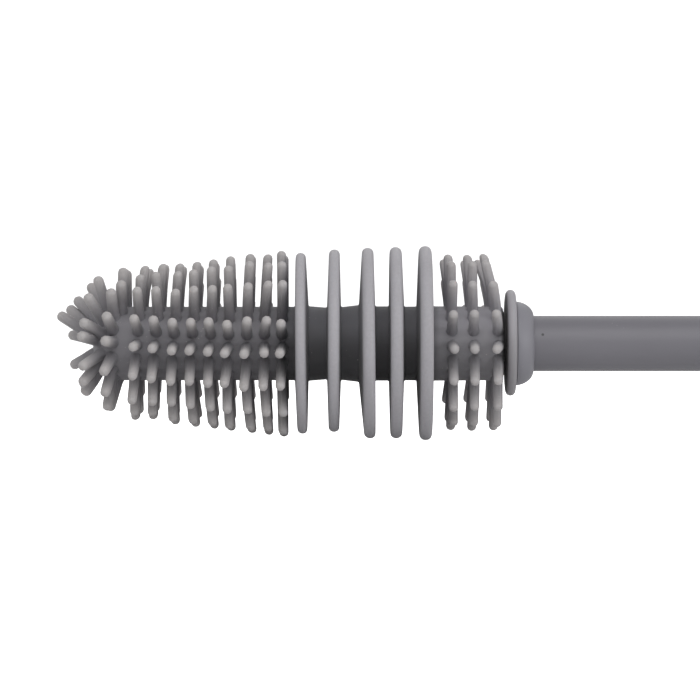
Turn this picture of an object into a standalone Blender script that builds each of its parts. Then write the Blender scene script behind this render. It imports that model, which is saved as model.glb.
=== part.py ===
"""Silicone bottle brush: a soft head of fingers and discs, pushed onto the fluted core of a long tube handle.

The brush lies along X, with its nose at -X. A station is a place along the axis, counted from the centre of the
nose's dome and growing towards the handle. Radii are measured from the axis, and turns go round it, from 0 at -Y
to a quarter turn at +Z.
"""

import math

import bmesh
import bpy
from mathutils import Matrix, Vector

MM = 0.001
TURNED_SIDES = 32
BEND_STEPS = 6
SHARP_ANGLE = math.radians(35)

# Clearance between neighbouring pieces
FIT_GAP = 0.3 * MM

# Silicone sleeve, from the nose to the end that takes the core
BARREL_RADIUS = 9.1 * MM
SLEEVE_WALL = 2.6 * MM
SLEEVE_END_ROUNDING = 1.5 * MM
DOME_LENGTH = 7.2 * MM
NOSE_SLEEVE_LENGTH = 2.0 * MM

# Fingers
FINGER_SIDES = 4
FINGER_ROOT_RADIUS = 1.3 * MM
FINGER_TIP_RADIUS = 1.1 * MM
FINGER_TIP_TAPER = 0.55
FINGERS_PER_RING = 16
FINGER_PHASE = math.radians(17)

# Rings on the nose's dome, from the sleeve to the front: angle from straight ahead, fingers, and reach from its centre
NOSE_RING_ANGLES = (math.radians(79), math.radians(60), math.radians(34))
NOSE_RING_FINGERS = (16, 13, 6)
NOSE_REACH = 18.2 * MM

# Rings in front of the discs
FRONT_RING_COUNT = 9
FRONT_RING_PITCH = 4.53 * MM
FRONT_REACH_FIRST = 18.9 * MM
FRONT_REACH_LAST = 23.0 * MM

# Discs
FRONT_FINGERS_TO_DISC = 1.1 * MM
DISC_ROOT_THICKNESS = 4.0 * MM
DISC_RIM_THICKNESS = 2.8 * MM
DISC_ROOT_GAPS = (4.2 * MM, 4.3 * MM, 3.3 * MM, 3.2 * MM)
DISC_RADIUS_FIRST = 22.5 * MM
DISC_RADIUS_LAST = 24.2 * MM

# Rings behind the discs
DISC_TO_REAR_FINGERS = 3.1 * MM
REAR_RING_COUNT = 3
REAR_RING_PITCH = 5.37 * MM
REAR_REACH = 21.8 * MM
REAR_FINGERS_TO_END = 0.8 * MM

# Flange at the head's open end, on a narrow neck
NECK_WALL = 1.4 * MM
NECK_LENGTH = 0.5 * MM
FLANGE_RISE = 4.05 * MM
FLANGE_THICKNESS = 2.6 * MM

# Dome-shaped collar on the front of the handle
COLLAR_LENGTH = 4.1 * MM
COLLAR_RISE = 3.0 * MM
COLLAR_EDGE = 0.3 * MM
COLLAR_WALL = 1.3 * MM

# Fluted core that the head is pushed onto
CORE_LENGTH_PAST_DOME_CENTRE = 2.5 * MM
CORE_TIP_CHAMFER = 2.0 * MM
CORE_FLUTES = 6
CORE_RIB_WIDTH = 1.8 * MM
CORE_SHOULDER_LENGTH = 3.0 * MM
CORE_PLUG_LENGTH = 18.0 * MM
FLUTE_SIDES = 12

# Handle
TUBE_RADIUS = 6.8 * MM
TUBE_WALL = 1.6 * MM
TUBE_LENGTH = 188.0 * MM
PLUG_CHAMFER = 1.0 * MM

# End cap and its hanging slot
CAP_PLUG_LENGTH = 14.0 * MM
CAP_SHOULDER_LENGTH = 2.5 * MM
CAP_SLOPE_LENGTH = 3.0 * MM
TAB_THICKNESS = 7.0 * MM
SLOT_WIDTH = 6.6 * MM
SLOT_LENGTH = 14.0 * MM
SLOT_ROOT_WALL = 4.0 * MM
SLOT_END_WALL = 3.2 * MM
CUT_MARGIN = 5.0 * MM

# Radii that follow
SLEEVE_BORE_RADIUS = BARREL_RADIUS - SLEEVE_WALL
CORE_RIB_RADIUS = SLEEVE_BORE_RADIUS - FIT_GAP
FLUTE_RADIUS = CORE_RIB_RADIUS * math.sin(math.pi / CORE_FLUTES) - CORE_RIB_WIDTH / 2
FLANGE_RADIUS = BARREL_RADIUS + FLANGE_RISE
TUBE_BORE_RADIUS = TUBE_RADIUS - TUBE_WALL
PLUG_RADIUS = TUBE_BORE_RADIUS - FIT_GAP
COLLAR_BORE_RADIUS = TUBE_RADIUS + FIT_GAP
COLLAR_END_RADIUS = COLLAR_BORE_RADIUS + COLLAR_EDGE

# Stations that follow, from the nose to the end cap
CORE_TIP = -CORE_LENGTH_PAST_DOME_CENTRE
NOSE_SEAM = NOSE_SLEEVE_LENGTH
FRONT_RINGS = [NOSE_SEAM + FRONT_RING_PITCH * (n + 0.5) for n in range(FRONT_RING_COUNT)]
FRONT_SEAM = NOSE_SEAM + FRONT_RING_PITCH * FRONT_RING_COUNT
FIRST_DISC = FRONT_RINGS[-1] + FINGER_ROOT_RADIUS + FRONT_FINGERS_TO_DISC + DISC_ROOT_THICKNESS / 2
DISCS = [FIRST_DISC + n * DISC_ROOT_THICKNESS + sum(DISC_ROOT_GAPS[:n]) for n in range(len(DISC_ROOT_GAPS) + 1)]
FIRST_REAR_RING = DISCS[-1] + DISC_ROOT_THICKNESS / 2 + DISC_TO_REAR_FINGERS + FINGER_ROOT_RADIUS
REAR_SEAM = FIRST_REAR_RING - REAR_RING_PITCH / 2
REAR_RINGS = [FIRST_REAR_RING + REAR_RING_PITCH * n for n in range(REAR_RING_COUNT)]
SLEEVE_END = REAR_RINGS[-1] + FINGER_ROOT_RADIUS + REAR_FINGERS_TO_END
NECK_START = SLEEVE_END + FIT_GAP
FLANGE_START = NECK_START + NECK_LENGTH
FLANGE_END = FLANGE_START + FLANGE_THICKNESS
COLLAR_START = FLANGE_END + FIT_GAP
COLLAR_END = COLLAR_START + COLLAR_LENGTH
CORE_SHOULDER = COLLAR_START - FIT_GAP
TUBE_START = COLLAR_START + COLLAR_WALL + FIT_GAP
TUBE_END = TUBE_START + TUBE_LENGTH
CAP_START = TUBE_END + FIT_GAP
TAB_START = CAP_START + CAP_SHOULDER_LENGTH + CAP_SLOPE_LENGTH
CAP_END = TAB_START + SLOT_ROOT_WALL + SLOT_LENGTH + SLOT_END_WALL

# Finish: name, colour, roughness
SILICONE = ("silicone", (0.37, 0.355, 0.365, 1), 0.55)
HANDLE_PLASTIC = ("handle_plastic", (0.235, 0.23, 0.25, 1), 0.42)
CORE_PLASTIC = ("core_plastic", (0.62, 0.62, 0.60, 1), 0.5)


def clear_scene():
    for obj in list(bpy.data.objects):
        bpy.data.objects.remove(obj)


def new_collection(name):
    collection = bpy.data.collections.new(name)
    bpy.context.scene.collection.children.link(collection)
    return collection


def new_empty(name, parent, collection):
    empty = bpy.data.objects.new(name, None)
    empty.parent = parent
    collection.objects.link(empty)
    return empty


def material(name, colour, roughness):
    """A plain finish, made the first time that it is asked for."""
    made = bpy.data.materials.get(name)
    if made is None:
        made = bpy.data.materials.new(name)
        made.use_nodes = True
        shader = made.node_tree.nodes["Principled BSDF"]
        shader.inputs["Base Color"].default_value = colour
        shader.inputs["Roughness"].default_value = roughness
        shader.inputs["Metallic"].default_value = 0.0
    return made


def to_mesh(bm, name):
    mesh = bpy.data.meshes.new(name)
    bm.to_mesh(mesh)
    bm.free()
    return mesh


def turned(name, profile, finish, parent, collection, closed=True):
    """Turns a profile of (station, radius) points about the axis. It is drawn half a side away from +Z, so that the
    turned shape has a flat at its lowest point. An open profile starts and ends on the axis."""
    half_side = math.pi / TURNED_SIDES
    bm = bmesh.new()
    points = [bm.verts.new((s, r * math.sin(half_side), r * math.cos(half_side))) for s, r in profile]
    for point, following in zip(points, points[1:]):
        bm.edges.new((point, following))
    if closed:
        bm.edges.new((points[-1], points[0]))
    obj = bpy.data.objects.new(name, to_mesh(bm, name))
    obj.data.materials.append(material(*finish))
    obj.parent = parent
    collection.objects.link(obj)
    screw = obj.modifiers.new("Turn", "SCREW")
    screw.axis = "X"
    screw.steps = screw.render_steps = TURNED_SIDES
    screw.use_merge_vertices = True
    screw.merge_threshold = 0.00001
    screw.use_normal_flip = True
    return obj


def arc(station, radius, along, across, start, end):
    """Points on part of an ellipse round (station, radius), from one angle to another, in degrees from +X."""
    angles = [math.radians(start + (end - start) * n / BEND_STEPS) for n in range(BEND_STEPS + 1)]
    return [(station + along * math.cos(angle), radius + across * math.sin(angle)) for angle in angles]


def ring_section(start, end, bore, outside):
    return [(start, outside), (end, outside), (end, bore), (start, bore)]


def boolean(target, operation, mesh, helpers):
    """Joins a mesh to the target or cuts it away, with a hidden object that holds the mesh."""
    helper = bpy.data.objects.new(mesh.name, mesh)
    helper.parent = target.parent
    helper.hide_render = True
    helper.display_type = "WIRE"
    helpers.objects.link(helper)
    change = target.modifiers.new(mesh.name, "BOOLEAN")
    change.operation = operation
    change.solver = "EXACT"
    change.object = helper


def heading(polar, turn):
    """Direction at an angle from straight ahead and a turn round the axis."""
    across = math.sin(polar)
    return Vector((-math.cos(polar), -across * math.cos(turn), across * math.sin(turn)))


def add_finger(bm, foot, end):
    """A tapered finger with a blunt tip. Its four sides enclose the same area as the real round one, and two of them
    lie along the brush."""
    length = (end - foot).length
    direction = (end - foot).normalized()
    corner = math.sqrt(math.pi / 2)
    beside = direction.cross(Vector((1, 0, 0))).normalized()
    frame = Matrix((beside, direction.cross(beside), direction)).transposed().to_4x4()
    place = Matrix.Translation(foot) @ frame @ Matrix.Rotation(math.pi / FINGER_SIDES, 4, "Z")
    blunt = FINGER_TIP_RADIUS / 2
    shaft = length - blunt
    cone = bmesh.ops.create_cone(
        bm, cap_ends=True, segments=FINGER_SIDES, radius1=FINGER_ROOT_RADIUS * corner,
        radius2=FINGER_TIP_RADIUS * corner, depth=shaft, matrix=place @ Matrix.Translation((0, 0, shaft / 2)))
    faces = {face for vert in cone["verts"] for face in vert.link_faces}
    end = max(faces, key=lambda face: face.calc_center_median().dot(direction))
    tip = bmesh.ops.extrude_discrete_faces(bm, faces=[end])["faces"][0]
    bmesh.ops.translate(bm, verts=tip.verts, vec=direction * blunt)
    around_tip = Matrix.Translation(-tip.calc_center_median())
    bmesh.ops.scale(bm, verts=tip.verts, vec=(FINGER_TIP_TAPER,) * 3, space=around_tip)


def add_ring(bm, station, polar, count, reach):
    """A ring of fingers rooted halfway into the wall of the sleeve or its dome. Each ends at its reach from the ring's
    centre."""
    centre = Vector((station, 0, 0))
    across = BARREL_RADIUS - SLEEVE_WALL / 2
    along = DOME_LENGTH - SLEEVE_WALL / 2
    for n in range(count):
        direction = heading(polar, FINGER_PHASE + 2 * math.pi * n / count)
        foot = Matrix.Diagonal((along, across, across)) @ direction
        add_finger(bm, centre + foot, centre + direction * reach)


def make_nose(head, parts, helpers):
    """The closed front of the sleeve: a dome with a pocket for the core's tip, and fingers that fan out."""
    end = NOSE_SEAM - FIT_GAP / 2
    pocket = CORE_TIP - FIT_GAP
    profile = [(-DOME_LENGTH, 0)]
    profile += arc(0, 0, DOME_LENGTH, BARREL_RADIUS, 180, 90)[1:]
    profile += [(end, BARREL_RADIUS), (end, SLEEVE_BORE_RADIUS), (pocket + CORE_TIP_CHAMFER, SLEEVE_BORE_RADIUS)]
    profile += [(pocket, SLEEVE_BORE_RADIUS - CORE_TIP_CHAMFER), (pocket, 0)]
    nose = turned("nose_fingers", profile, SILICONE, head, parts, closed=False)
    bm = bmesh.new()
    for polar, count in zip(NOSE_RING_ANGLES, NOSE_RING_FINGERS):
        add_ring(bm, 0, polar, count, NOSE_REACH)
    boolean(nose, "UNION", to_mesh(bm, "nose_rings"), helpers)


def make_front_fingers(head, parts, helpers):
    """The long field of fingers, whose reach grows towards the discs, on its slice of the sleeve."""
    section = ring_section(NOSE_SEAM + FIT_GAP / 2, FRONT_SEAM - FIT_GAP / 2, SLEEVE_BORE_RADIUS, BARREL_RADIUS)
    field = turned("front_fingers", section, SILICONE, head, parts)
    bm = bmesh.new()
    for n, station in enumerate(FRONT_RINGS):
        share = n / (FRONT_RING_COUNT - 1)
        reach = FRONT_REACH_FIRST + share * (FRONT_REACH_LAST - FRONT_REACH_FIRST)
        add_ring(bm, station, math.pi / 2, FINGERS_PER_RING, reach)
    boolean(field, "UNION", to_mesh(bm, "front_rings"), helpers)


def make_disc_barrel(head, parts):
    """The bare slice of the sleeve that the discs stand on."""
    section = ring_section(FRONT_SEAM + FIT_GAP / 2, REAR_SEAM - FIT_GAP / 2, SLEEVE_BORE_RADIUS, BARREL_RADIUS)
    turned("disc_barrel", section, SILICONE, head, parts)


def make_discs(head, parts):
    """Flexible discs with a thick root and a round rim. They widen towards the handle."""
    bore = BARREL_RADIUS + FIT_GAP
    rim = DISC_RIM_THICKNESS / 2
    root = DISC_ROOT_THICKNESS / 2
    for n, station in enumerate(DISCS):
        share = n / (len(DISCS) - 1)
        radius = DISC_RADIUS_FIRST + share * (DISC_RADIUS_LAST - DISC_RADIUS_FIRST)
        profile = [(station - root, bore)] + arc(station, radius - rim, rim, rim, 180, 0) + [(station + root, bore)]
        turned(f"disc_{n + 1}", profile, SILICONE, head, parts)


def make_rear_fingers(head, parts, helpers):
    """The short field of fingers behind the discs, on the sleeve's last slice, whose end is rounded."""
    start = REAR_SEAM + FIT_GAP / 2
    rounding = min(SLEEVE_END_ROUNDING, SLEEVE_WALL)
    profile = [(start, BARREL_RADIUS)]
    profile += arc(SLEEVE_END - rounding, BARREL_RADIUS - rounding, rounding, rounding, 90, 0)
    profile += [(SLEEVE_END, SLEEVE_BORE_RADIUS), (start, SLEEVE_BORE_RADIUS)]
    field = turned("rear_fingers", profile, SILICONE, head, parts)
    bm = bmesh.new()
    for station in REAR_RINGS:
        add_ring(bm, station, math.pi / 2, FINGERS_PER_RING, REAR_REACH)
    boolean(field, "UNION", to_mesh(bm, "rear_rings"), helpers)


def make_end_flange(head, parts):
    """The lip round the sleeve's open end, on its narrow neck. It seats against the collar."""
    neck = SLEEVE_BORE_RADIUS + NECK_WALL
    rim = FLANGE_THICKNESS / 2
    profile = [(NECK_START, neck), (FLANGE_START, neck)]
    profile += arc(FLANGE_START + rim, FLANGE_RADIUS - rim, rim, rim, 180, 0)
    profile += [(FLANGE_END, SLEEVE_BORE_RADIUS), (NECK_START, SLEEVE_BORE_RADIUS)]
    turned("end_flange", profile, SILICONE, head, parts)


def make_core(handle, parts, helpers):
    """The stiff core inside the head. Its shoulder bears on the collar and its plug fills the tube's front end."""
    plug_end = TUBE_START + CORE_PLUG_LENGTH
    profile = [(CORE_TIP, 0), (CORE_TIP, CORE_RIB_RADIUS - CORE_TIP_CHAMFER)]
    profile += [(CORE_TIP + CORE_TIP_CHAMFER, CORE_RIB_RADIUS), (CORE_SHOULDER, CORE_RIB_RADIUS)]
    profile += [(CORE_SHOULDER, PLUG_RADIUS), (plug_end - PLUG_CHAMFER, PLUG_RADIUS)]
    profile += [(plug_end, PLUG_RADIUS - PLUG_CHAMFER), (plug_end, 0)]
    core = turned("fluted_core", profile, CORE_PLASTIC, handle, parts, closed=False)
    start = CORE_TIP - CUT_MARGIN
    end = CORE_SHOULDER - CORE_SHOULDER_LENGTH
    along_axis = Matrix.Rotation(math.pi / 2, 4, "Y")
    bm = bmesh.new()
    for n in range(CORE_FLUTES):
        centre = heading(math.pi / 2, 2 * math.pi * (n + 0.5) / CORE_FLUTES) * CORE_RIB_RADIUS
        centre.x = (start + end) / 2
        bmesh.ops.create_cone(
            bm, cap_ends=True, segments=FLUTE_SIDES, radius1=FLUTE_RADIUS, radius2=FLUTE_RADIUS,
            depth=end - start, matrix=Matrix.Translation(centre) @ along_axis)
    boolean(core, "DIFFERENCE", to_mesh(bm, "core_flutes"), helpers)


def make_collar(handle, parts):
    """The dome that closes the step from the head to the handle. Its front wall lies between core and tube."""
    wall_end = COLLAR_START + COLLAR_WALL
    profile = arc(COLLAR_START, COLLAR_END_RADIUS, COLLAR_LENGTH, COLLAR_RISE, 90, 0)
    profile += [(COLLAR_END, COLLAR_BORE_RADIUS), (wall_end, COLLAR_BORE_RADIUS)]
    profile += [(wall_end, TUBE_BORE_RADIUS), (COLLAR_START, TUBE_BORE_RADIUS)]
    turned("dome_collar", profile, HANDLE_PLASTIC, handle, parts)


def make_tube(handle, parts):
    section = ring_section(TUBE_START, TUBE_END, TUBE_BORE_RADIUS, TUBE_RADIUS)
    turned("handle_tube", section, HANDLE_PLASTIC, handle, parts)


def make_end_cap(handle, parts, helpers):
    """A plug in the tube's far end, which carries on as a flat tab with a round end and a slot to hang it by."""
    plug_start = TUBE_END - CAP_PLUG_LENGTH
    profile = [(plug_start, 0), (plug_start, PLUG_RADIUS - PLUG_CHAMFER)]
    profile += [(plug_start + PLUG_CHAMFER, PLUG_RADIUS), (CAP_START, PLUG_RADIUS), (CAP_START, TUBE_RADIUS)]
    profile += arc(CAP_END - TUBE_RADIUS, 0, TUBE_RADIUS, TUBE_RADIUS, 90, 0)[:-1]
    profile += [(CAP_END, 0)]
    cap = turned("end_cap", profile, HANDLE_PLASTIC, handle, parts, closed=False)
    bm = bmesh.new()
    for side in (1, -1):
        add_flat_cutter(bm, side)
    boolean(cap, "DIFFERENCE", to_mesh(bm, "tab_flats"), helpers)
    boolean(cap, "DIFFERENCE", slot_mesh(), helpers)


def add_flat_cutter(bm, side):
    """The block that flattens one side of the tab. Its front end leans forward, and leaves a slope."""
    low = TAB_THICKNESS / 2
    high = TUBE_RADIUS + CUT_MARGIN
    length = CAP_END + CUT_MARGIN - TAB_START
    middle = Vector((TAB_START + length / 2, 0, side * (low + high) / 2))
    stretch = Matrix.Diagonal((length, 2 * high, high - low, 1))
    block = bmesh.ops.create_cube(bm, size=1, matrix=Matrix.Translation(middle) @ stretch)
    front_edge = [v for v in block["verts"] if v.co.x < middle.x and abs(v.co.z) > abs(middle.z)]
    lean = CAP_SLOPE_LENGTH * (high - low) / (TUBE_RADIUS - low)
    bmesh.ops.translate(bm, verts=front_edge, vec=(-lean, 0, 0))


def slot_mesh():
    """The hanging slot as a solid with round ends, taller than the tab."""
    radius = SLOT_WIDTH / 2
    far = CAP_END - SLOT_END_WALL - radius
    near = CAP_END - SLOT_END_WALL - SLOT_LENGTH + radius
    outline = arc(far, 0, radius, radius, -90, 90) + arc(near, 0, radius, radius, 90, 270)
    curve = bpy.data.curves.new("hanging_slot", "CURVE")
    curve.dimensions = "2D"
    curve.fill_mode = "BOTH"
    curve.extrude = TUBE_RADIUS + CUT_MARGIN
    spline = curve.splines.new("POLY")
    spline.points.add(len(outline) - 1)
    for point, (x, y) in zip(spline.points, outline):
        point.co = (x, y, 0, 1)
    spline.use_cyclic_u = True
    drawn = bpy.data.objects.new("hanging_slot", curve)
    bm = bmesh.new()
    bm.from_mesh(bpy.data.meshes.new_from_object(drawn))
    bpy.data.objects.remove(drawn)
    bmesh.ops.remove_doubles(bm, verts=bm.verts, dist=0.000001)
    return to_mesh(bm, "hanging_slot")


def settle(parts, helpers):
    """Keeps each finished shape as its object's own mesh, shades its round faces smooth, and clears the helpers."""
    graph = bpy.context.evaluated_depsgraph_get()
    finished = {obj: bpy.data.meshes.new_from_object(obj.evaluated_get(graph)) for obj in parts.objects if obj.data}
    for obj, mesh in finished.items():
        obj.modifiers.clear()
        obj.data = mesh
        mesh.shade_smooth()
        mesh.set_sharp_from_angle(angle=SHARP_ANGLE)
    for helper in list(helpers.objects):
        bpy.data.objects.remove(helper)
    bpy.data.collections.remove(helpers)


def rest_on_origin(brush, parts):
    """Moves the brush so that the middle of the base of its bounding box is the origin."""
    corners = [vert.co for obj in parts.objects if obj.data for vert in obj.data.vertices]
    lowest = min(corner.z for corner in corners)
    ends = [corner.x for corner in corners]
    brush.location = (-(min(ends) + max(ends)) / 2, 0, -lowest)
    bpy.context.view_layer.update()


def main():
    clear_scene()
    parts = new_collection("silicone_bottle_brush")
    helpers = new_collection("cutters")
    brush = new_empty("brush", None, parts)
    handle = new_empty("handle", brush, parts)
    head = new_empty("head", brush, parts)

    make_nose(head, parts, helpers)
    make_front_fingers(head, parts, helpers)
    make_disc_barrel(head, parts)
    make_discs(head, parts)
    make_rear_fingers(head, parts, helpers)
    make_end_flange(head, parts)
    make_core(handle, parts, helpers)
    make_collar(handle, parts)
    make_tube(handle, parts)
    make_end_cap(handle, parts, helpers)

    settle(parts, helpers)
    rest_on_origin(brush, parts)


main()
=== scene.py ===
# %% [markdown]
# # A silicone bottle brush
#
# A hand can take this brush apart into two things: a stiff handle that ends in a ribbed core, and a
# soft silicone head that is pushed over the core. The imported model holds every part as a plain
# solid at its real size. This lesson dresses those solids: it models each part again with its
# drafts, roundings and small faults, and gives it a finish.
#
# The model could be drawn from scratch and fitted afterwards. Loading it first is safer, because
# each new piece then takes its place from the solid that it covers.

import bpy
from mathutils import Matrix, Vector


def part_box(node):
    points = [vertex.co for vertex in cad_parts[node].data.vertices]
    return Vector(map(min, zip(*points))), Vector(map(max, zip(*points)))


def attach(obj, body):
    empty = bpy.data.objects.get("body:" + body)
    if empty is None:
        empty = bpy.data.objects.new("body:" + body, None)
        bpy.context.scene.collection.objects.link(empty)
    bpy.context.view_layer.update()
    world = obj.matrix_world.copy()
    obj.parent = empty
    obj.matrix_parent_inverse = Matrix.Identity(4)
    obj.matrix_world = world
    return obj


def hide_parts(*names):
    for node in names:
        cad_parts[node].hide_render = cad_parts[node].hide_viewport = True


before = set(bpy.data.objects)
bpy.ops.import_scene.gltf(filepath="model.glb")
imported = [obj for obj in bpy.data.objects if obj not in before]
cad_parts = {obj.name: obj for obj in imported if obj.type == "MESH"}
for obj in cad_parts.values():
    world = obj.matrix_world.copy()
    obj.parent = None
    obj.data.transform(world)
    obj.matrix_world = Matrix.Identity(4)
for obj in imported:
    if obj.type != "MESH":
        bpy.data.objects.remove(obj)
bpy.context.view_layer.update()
print("nodes:", ", ".join(sorted(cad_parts)))

# %% [markdown]
# ## Where things are
#
# The brush lies along X with its nose at -X. Two places fix everything else: the height of the
# brush's axis, which is the middle of the handle tube, and the centre of the dome that closes the
# nose. A station is a distance from that centre towards the handle. Pieces are modelled in stations
# and radii, round an axis through the origin, and then moved to their place as whole meshes.

# %% Axis and stations
import math

MM = 0.001
NOSE_SLICE_END = 1.85 * MM

tube_low, tube_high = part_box("handle_tube")
axis_height = (tube_low.z + tube_high.z) / 2
dome_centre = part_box("nose_fingers")[1].x - NOSE_SLICE_END


def station(x):
    """Distance of a place along the brush from the dome's centre."""
    return x - dome_centre


def span(node):
    """First and last station of a node."""
    low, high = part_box(node)
    return station(low.x), station(high.x)


def middle(node):
    return sum(span(node)) / 2


print("axis at", round(axis_height / MM, 2), "mm, dome centre at", round(dome_centre / MM, 2), "mm")

# %% [markdown]
# ## Turning on a lathe
#
# Most of this brush is round, so most of its pieces start as an outline that is spun about the
# axis. A real outline has no knife edges: each corner carries a radius. Bevelling the spun mesh
# would be one way. Rounding the corners of the outline before the spin is cheaper, and gives each
# corner its own radius.

# %% Rounded outlines
from mathutils import Matrix, Vector

CORNER_STEPS = 6


def rounded(corners):
    """Outline through (station, radius, rounding) corners. An arc replaces each that has a rounding."""
    outline = []
    for n, (along, across, rounding) in enumerate(corners):
        here = Vector((along, across))
        if rounding == 0:
            outline.append(here)
            continue
        back = Vector(corners[n - 1][:2]) - here
        onward = Vector(corners[n + 1][:2]) - here
        half = back.angle(onward) / 2
        reach = min(rounding / math.tan(half), back.length / 2, onward.length / 2)
        centre = here + (back.normalized() + onward.normalized()).normalized() * reach / math.cos(half)
        first = here + back.normalized() * reach - centre
        last = here + onward.normalized() * reach - centre
        sweep = math.atan2(first.cross(last), first.dot(last))
        turns = [sweep * k / CORNER_STEPS for k in range(CORNER_STEPS + 1)]
        outline += [centre + Matrix.Rotation(turn, 2) @ first for turn in turns]
    return outline


# %% Spin an outline
import bmesh

TURNED_SIDES = 96
MERGE = 0.002 * MM


def turned(outline, sides=TURNED_SIDES, closed=False):
    """Spins an outline of (station, radius) points about the axis. An open one starts and ends on it."""
    bm = bmesh.new()
    points = [bm.verts.new((along, 0, across)) for along, across in outline]
    edges = [bm.edges.new(pair) for pair in zip(points, points[1:])]
    if closed:
        edges.append(bm.edges.new((points[-1], points[0])))
    bmesh.ops.spin(
        bm, geom=points + edges, cent=(0, 0, 0), axis=(1, 0, 0), angle=2 * math.pi, steps=sides,
        use_merge=True)
    bmesh.ops.remove_doubles(bm, verts=bm.verts, dist=MERGE)
    bmesh.ops.recalc_face_normals(bm, faces=bm.faces)
    return bm


# %% From a bmesh to a piece of the brush
import bpy

SHARP_ANGLE = math.radians(40)


def piece(name, bm, body, slot, *nodes):
    """Puts a finished bmesh in its place on the brush, riding a body and standing for CAD nodes."""
    bmesh.ops.translate(bm, verts=bm.verts, vec=(dome_centre, 0, axis_height))
    mesh = bpy.data.meshes.new(name)
    bm.to_mesh(mesh)
    bm.free()
    mesh.shade_smooth()
    mesh.set_sharp_from_angle(angle=SHARP_ANGLE)
    obj = bpy.data.objects.new(name, mesh)
    bpy.context.scene.collection.objects.link(obj)
    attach(obj, body)
    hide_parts(*nodes)
    print(name, "has", len(mesh.polygons), "faces and stands for", ", ".join(nodes))
    return obj


# %% [markdown]
# ## The sleeve with its discs
#
# The whole head is one silicone moulding: a sleeve closed by a dome, with discs, a groove and a
# lip. Its outline runs from the tip of the dome along the outside, over each disc, round the lip
# and back through the bore. Discs could be separate rings stuck on the sleeve, but a moulding has a
# fillet where a disc grows out of the sleeve, and only one outline gives that for nothing. Each
# disc tapers to a full-round rim, as a part has to that must leave its mould.

# %% Outline of the sleeve
BARREL_RADIUS = 9.2 * MM
DOME_LENGTH = 7.2 * MM
DOME_STEPS = 10
BORE_RADIUS = 6.5 * MM
POCKET = -2.8 * MM
POCKET_CHAMFER = 2.0 * MM
DISC_RADII = (22.6 * MM, 22.8 * MM, 23.8 * MM, 23.9 * MM, 24.25 * MM)
DISC_ROOTS = (3.4 * MM, 3.5 * MM, 4.1 * MM, 3.8 * MM, 4.2 * MM)
DISC_RIMS = (2.4 * MM, 2.65 * MM, 2.8 * MM, 2.9 * MM, 3.0 * MM)
RIM_ROUNDNESS = 0.95
DISC_FILLET = 0.4 * MM
# In mm: how far each disc stands off the middle of its solid.
DISC_SHIFTS = (0.05, -0.1, -0.15, -0.1, -0.2)
# In mm: how much thicker than BARREL_RADIUS the sleeve is just before and just behind each disc.
SLEEVE_AT_DISCS = ((0.0, 0.15), (-0.22, -0.1), (0.42, 0.1), (0.1, 0.03), (0.05, 0.12))
SLEEVE_END_ROUNDING = 1.5 * MM
NECK_RADIUS = 7.9 * MM
NECK_FILLET = 0.2 * MM
GROOVE_WIDTH = 0.6 * MM
LIP_RADIUS = 13.25 * MM
LIP_DRAFT = 0.15 * MM
LIP_SET_BACK = 0.15 * MM
LIP_BORE_ROUNDING = 0.4 * MM

DISCS = [middle(f"disc_{n + 1}") + shift * MM for n, shift in enumerate(DISC_SHIFTS)]
lip_end = span("end_flange")[1] - LIP_SET_BACK
sleeve_end = span("rear_fingers")[1]


def disc_corners(n):
    """Corners of a disc, from the sleeve before it over its rim to the sleeve behind it."""
    place, radius = DISCS[n], DISC_RADII[n]
    root, rim = DISC_ROOTS[n] / 2, DISC_RIMS[n] / 2
    before, behind = SLEEVE_AT_DISCS[n]
    return [(place - root, BARREL_RADIUS + before * MM, DISC_FILLET),
            (place - rim, radius, rim * RIM_ROUNDNESS),
            (place + rim, radius, rim * RIM_ROUNDNESS),
            (place + root, BARREL_RADIUS + behind * MM, DISC_FILLET)]


quarter = [math.pi / 2 * n / DOME_STEPS for n in range(DOME_STEPS)]
dome = [Vector((-DOME_LENGTH * math.cos(a), BARREL_RADIUS * math.sin(a))) for a in quarter]
corners = [(0, BARREL_RADIUS, 0)]
for n in range(len(DISCS)):
    corners += disc_corners(n)
lip_start = sleeve_end + GROOVE_WIDTH
lip_rim = (lip_end - lip_start) / 2 - LIP_DRAFT
corners += [(sleeve_end, BARREL_RADIUS, SLEEVE_END_ROUNDING), (sleeve_end, NECK_RADIUS, NECK_FILLET),
            (lip_start, NECK_RADIUS, NECK_FILLET), (lip_start + LIP_DRAFT, LIP_RADIUS, lip_rim),
            (lip_end - LIP_DRAFT, LIP_RADIUS, lip_rim), (lip_end, BORE_RADIUS, LIP_BORE_ROUNDING),
            (POCKET + POCKET_CHAMFER, BORE_RADIUS, 0), (POCKET, BORE_RADIUS - POCKET_CHAMFER, 0),
            (POCKET, 0, 0)]
head = turned(dome + rounded(corners))
print("sleeve:", len(head.faces), "faces, discs at", [round(place / MM, 1) for place in DISCS], "mm")

# %% [markdown]
# ## Discs that have been bent
#
# Soft discs never stand quite square. In use and in the packet they take a set: a rim leans a
# little towards the nose or the handle, at its bottom by another amount than at its top, and sits a
# little high. A rotation of the whole disc would open it at the root, so the rim is pushed and the
# push fades to nothing where the disc meets the sleeve.

# %% Let the rims lean
RIM_BEND_POWER = 1.5
# In mm: how far each rim leans towards the handle at its top and at its bottom, and how high it sits.
DISC_LEANS = ((-0.3, 0.2), (0.1, 0.0), (0.15, 0.8), (-0.25, -0.05), (0.05, 0.2))
DISC_LIFTS = (0.05, 0.7, 0.1, 0.2, 0.1)
LIP_LIFT = 0.2


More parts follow.
